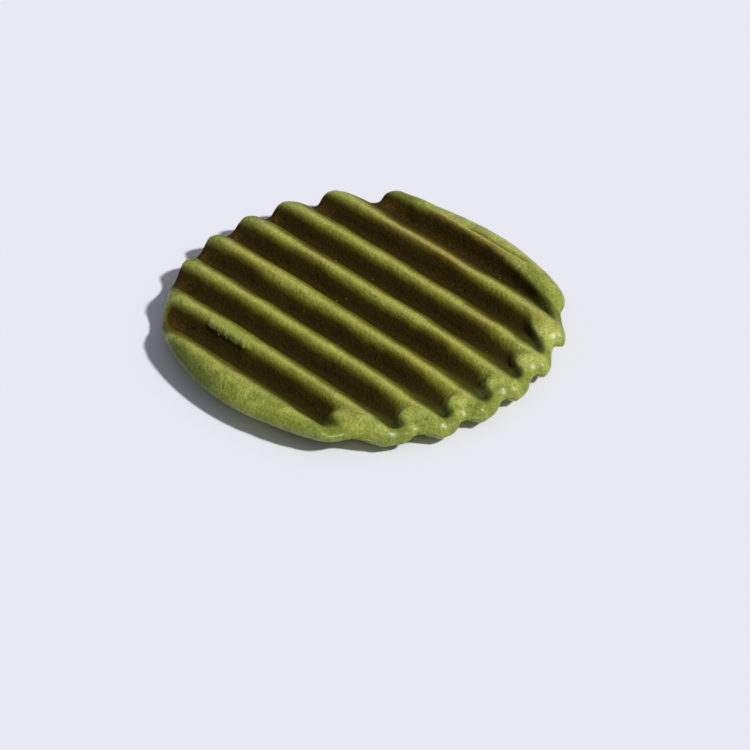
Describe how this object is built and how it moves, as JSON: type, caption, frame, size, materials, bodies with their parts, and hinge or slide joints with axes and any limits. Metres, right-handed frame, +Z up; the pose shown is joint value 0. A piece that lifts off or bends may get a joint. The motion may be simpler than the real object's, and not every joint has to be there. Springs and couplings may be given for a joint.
{
  "type": "matcha waffle cookie",
  "caption": "Thin round green tea waffle cookie, pressed with straight parallel ridges on both faces, with a raised lip closing the grooves along one side.",
  "frame": {"origin": "centre of the cookie's outline, on the plane that its underside rests on", "axes": "+X across the ridges, +Y along the ridges towards the open ends of the grooves, +Z up through the thickness"},
  "size_m": [0.0588, 0.0594, 0.0052],
  "materials": {
    "dough": "baked green tea dough, faintly glossy on the raised rim, browned in the grooves"
  },
  "bodies": {
    "root": {"cookie": "dough"}
  },
  "joints": []
}
